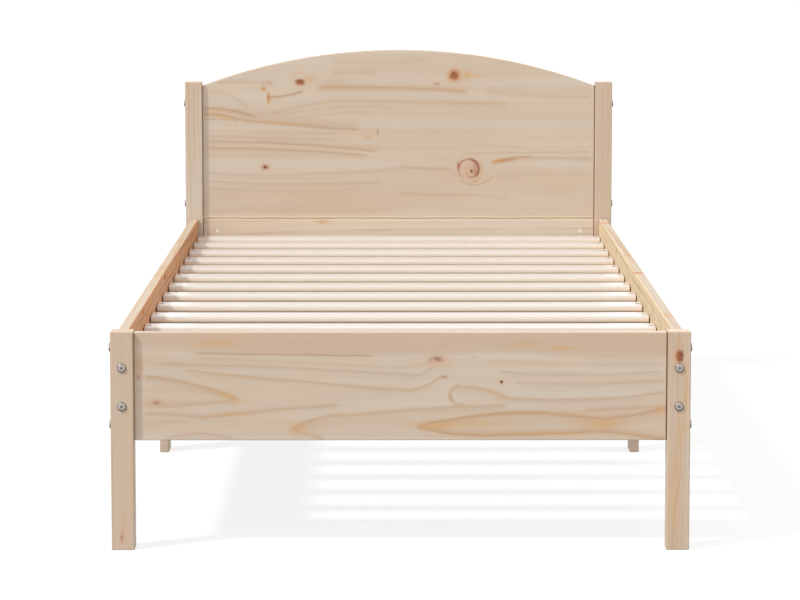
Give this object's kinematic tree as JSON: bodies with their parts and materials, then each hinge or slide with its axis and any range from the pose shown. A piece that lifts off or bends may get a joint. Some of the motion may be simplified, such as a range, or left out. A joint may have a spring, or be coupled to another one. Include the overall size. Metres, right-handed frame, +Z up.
{
  "type": "single bed frame",
  "caption": "Pine single bed frame with an arched headboard panel, low footboard, square posts, side rails with middle legs and a screwed slat deck, bolted with barrel nuts.",
  "frame": {"origin": "on the floor below the middle of the bed", "axes": "+Z up, +Y along the bed towards the headboard, +X to the right when seen from the foot end"},
  "size_m": [0.961, 2.061, 0.7409],
  "materials": {
    "pine": "smooth clear-lacquered pine",
    "batten_pine": "planed bare pine",
    "slat_wood": "sanded pale softwood",
    "bolt_steel": "zinc plated",
    "screw_steel": "yellowed zinc"
  },
  "bodies": {
    "root": {"front_post_left": "pine", "front_post_right": "pine", "rear_post_left": "pine", "rear_post_right": "pine", "footboard": "pine", "head_rail": "pine", "headboard_panel": "pine", "side_rail_left": "pine", "side_rail_right": "pine", "middle_leg_left": "pine", "middle_leg_right": "pine", "slat_ledger_left": "batten_pine", "slat_ledger_right": "batten_pine", "middle_leg_cleat_left": "batten_pine", "middle_leg_cleat_right": "batten_pine", "slat_01": "slat_wood", "slat_02": "slat_wood", "slat_03": "slat_wood", "slat_04": "slat_wood", "slat_05": "slat_wood", "slat_06": "slat_wood", "slat_07": "slat_wood", "slat_08": "slat_wood", "slat_09": "slat_wood", "slat_10": "slat_wood", "slat_11": "slat_wood", "slat_12": "slat_wood", "slat_13": "slat_wood", "footboard_bolts": "bolt_steel", "head_rail_bolts": "bolt_steel", "headboard_bolts": "bolt_steel", "front_rail_bolts": "bolt_steel", "rear_rail_bolts": "bolt_steel", "footboard_nuts": "bolt_steel", "head_rail_nuts": "bolt_steel", "headboard_nuts": "bolt_steel", "front_rail_nuts": "bolt_steel", "rear_rail_nuts": "bolt_steel", "slat_screws": "screw_steel", "ledger_screws": "screw_steel", "cleat_screws": "screw_steel"}
  },
  "joints": []
}
